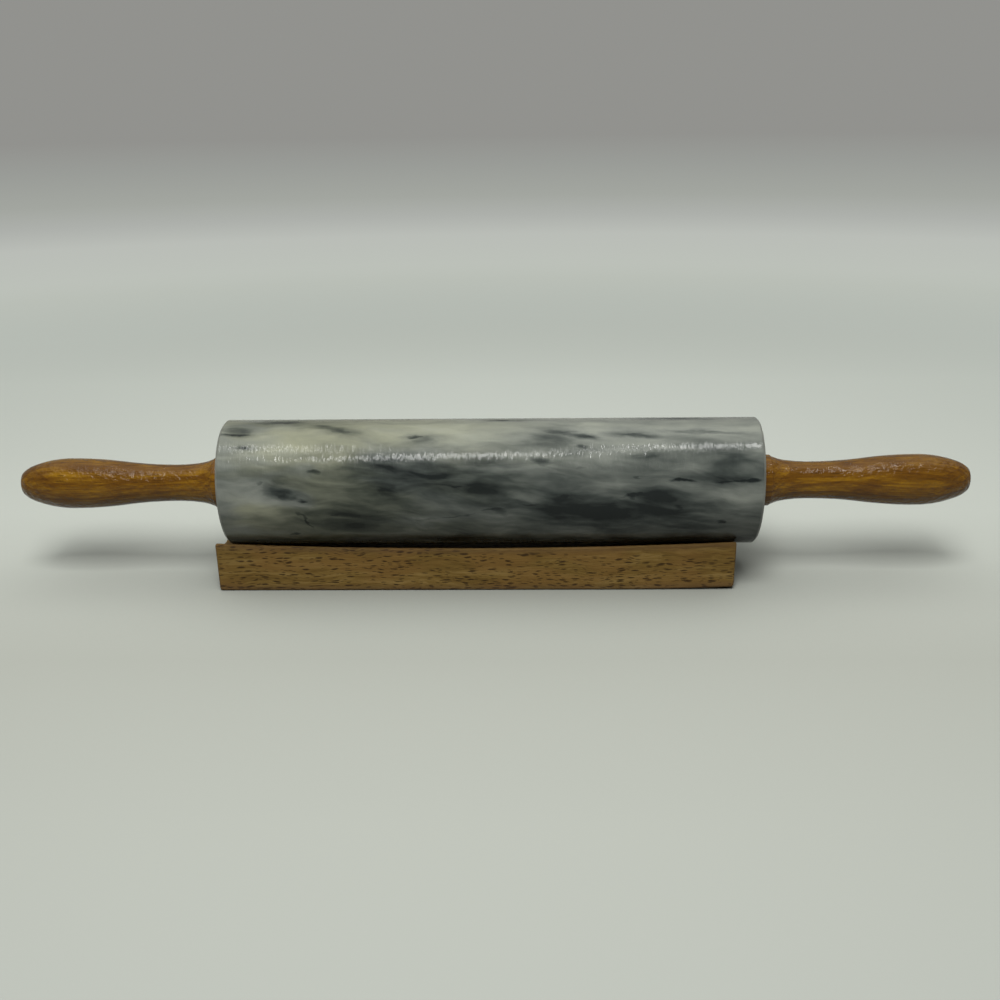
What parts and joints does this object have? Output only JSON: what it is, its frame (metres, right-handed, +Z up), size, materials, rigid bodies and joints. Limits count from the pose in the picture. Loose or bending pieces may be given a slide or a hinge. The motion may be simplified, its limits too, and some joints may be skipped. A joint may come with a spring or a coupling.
{
  "type": "marble rolling pin",
  "caption": "Polished marble rolling pin with turned wooden handles, lying in the shallow trough of its wooden cradle; the barrel turns on a rod between the handles.",
  "frame": {"origin": "on the surface that the cradle stands on, straight below the middle of the barrel", "axes": "+X along the rod towards the right handle, +Y away from the viewer, +Z up"},
  "size_m": [0.4568, 0.06, 0.0787],
  "materials": {
    "marble": "polished, grey-white with dark veins",
    "varnished_wood": "glossy varnish on turned wood",
    "plain_wood": "planed, without varnish",
    "steel": "bright drawn",
    "nylon": "natural, machined",
    "brass": "turned"
  },
  "bodies": {
    "cradle": {"cradle": "plain_wood"},
    "handles": {"left_handle": "varnished_wood", "right_handle": "varnished_wood", "left_insert": "brass", "right_insert": "brass", "axle_rod": "steel", "left_washer": "steel", "right_washer": "steel"},
    "barrel": {"marble_barrel": "marble", "left_bushing": "nylon", "right_bushing": "nylon"}
  },
  "joints": [
    {"name": "lift_off", "type": "slide", "parent": "cradle", "child": "barrel", "axis": [0, 0, 1], "range_m": [0, 0.08]},
    {"name": "axle_spin", "type": "hinge", "parent": "barrel", "child": "handles", "pos_m": [0, 0, 0.0487], "axis": [1, 0, 0], "continuous": true}
  ]
}
